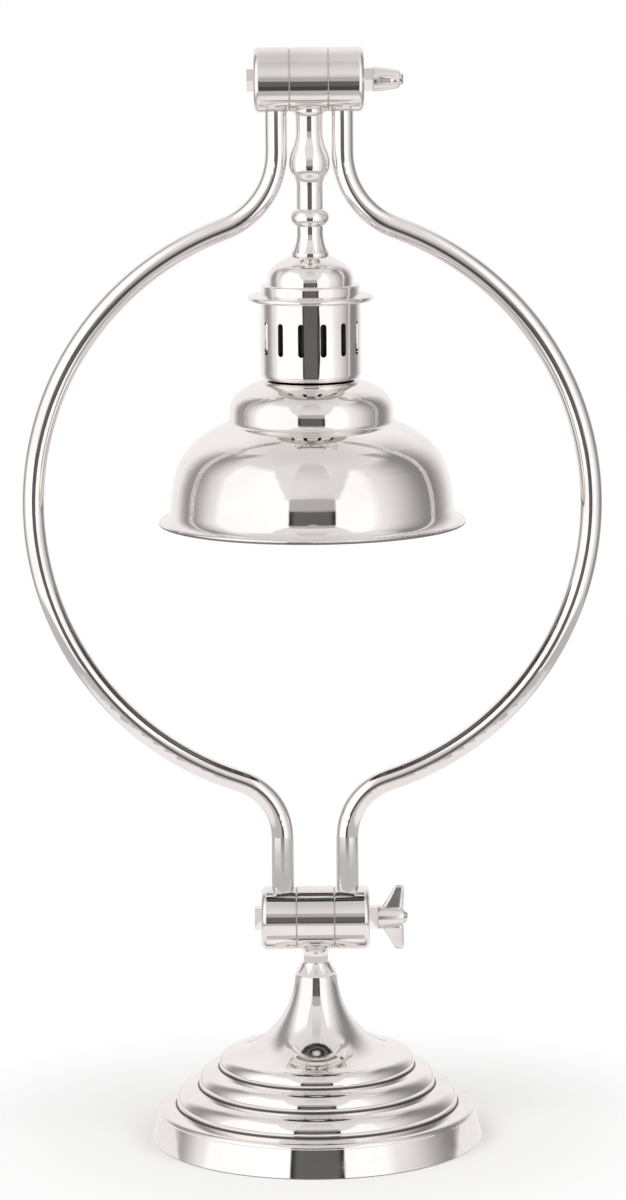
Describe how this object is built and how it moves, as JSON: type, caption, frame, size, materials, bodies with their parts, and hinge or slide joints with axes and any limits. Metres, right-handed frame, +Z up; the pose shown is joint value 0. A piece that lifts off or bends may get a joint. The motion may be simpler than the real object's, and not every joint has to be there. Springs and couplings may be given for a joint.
{
  "type": "tabletop searchlight lamp",
  "caption": "Table lamp with a stepped round base, a tilting ring of bent tubes and a bell shade that tilts inside the ring, held by wing nuts.",
  "frame": {"origin": "middle of the felt's underside, on the surface that the lamp stands on", "axes": "+Z up along the base's axis, X along both hinge bolts with the wing nuts at +X, the front faces -Y"},
  "size_m": [0.289, 0.167, 0.5505],
  "materials": {
    "polished_nickel": "mirror-polished nickel plate on brass",
    "felt": "dark green wool felt",
    "plain_steel": "plain zinc-plated steel",
    "cast_iron": "as cast",
    "brass": "plain brass",
    "black_rubber": "moulded",
    "lead_sheath": "smooth sheath",
    "fibre": "pressed grey fibre",
    "black_phenolic": "moulded phenolic",
    "bulb_glass": "opal glass",
    "black_glass": "moulded"
  },
  "bodies": {
    "base": {"felt_pad": "felt", "base_plate": "plain_steel", "base_plate_screws": "plain_steel", "base_weight": "cast_iron", "base_shell": "polished_nickel", "base_washer": "plain_steel", "base_locknut": "brass", "tie_rod": "brass", "neck_collar": "polished_nickel", "lower_centre_knuckle": "polished_nickel", "cord_bush": "black_rubber", "base_lead": "lead_sheath"},
    "ring": {"lower_left_knuckle": "polished_nickel", "lower_right_knuckle": "polished_nickel", "lower_hinge_bolt": "polished_nickel", "lower_hex_nut": "polished_nickel", "lower_friction_washers": "fibre", "ring_tube_left": "polished_nickel", "ring_tube_right": "polished_nickel", "ring_lead": "lead_sheath", "upper_left_knuckle": "polished_nickel", "upper_right_knuckle": "polished_nickel", "upper_hinge_bolt": "polished_nickel", "upper_hex_nut": "polished_nickel", "upper_friction_washers": "fibre"},
    "lower_wing_nut": {"lower_wing_nut": "polished_nickel"},
    "upper_wing_nut": {"upper_wing_nut": "polished_nickel"},
    "head": {"upper_centre_knuckle": "polished_nickel", "stem": "polished_nickel", "stem_nipple": "brass", "stem_locknut": "brass", "head_lead": "lead_sheath", "cap_dome": "polished_nickel", "vent_collar": "polished_nickel", "lampholder_cap": "brass", "lampholder_body": "black_phenolic", "terminal_screws": "brass", "screw_shell": "brass", "holder_contact": "brass", "shade_ring": "black_phenolic", "shade": "polished_nickel", "bulb_glass": "bulb_glass", "bulb_cap": "brass", "bulb_insulator": "black_glass", "bulb_contact": "brass"}
  },
  "joints": [
    {"name": "ring_tilt", "type": "hinge", "parent": "base", "child": "ring", "pos_m": [0, 0, 0.1132], "axis": [1, 0, 0], "range_deg": [-60, 60]},
    {"name": "head_tilt", "type": "hinge", "parent": "ring", "child": "head", "pos_m": [0, 0, 0.5345], "axis": [1, 0, 0], "range_deg": [-120, 120]},
    {"name": "lower_wing_nut_turn", "type": "hinge", "parent": "ring", "child": "lower_wing_nut", "pos_m": [0.0315, 0, 0.1132], "axis": [1, 0, 0], "range_deg": [0, 450]},
    {"name": "upper_wing_nut_turn", "type": "hinge", "parent": "ring", "child": "upper_wing_nut", "pos_m": [0.0315, 0, 0.5345], "axis": [1, 0, 0], "range_deg": [0, 450]}
  ]
}
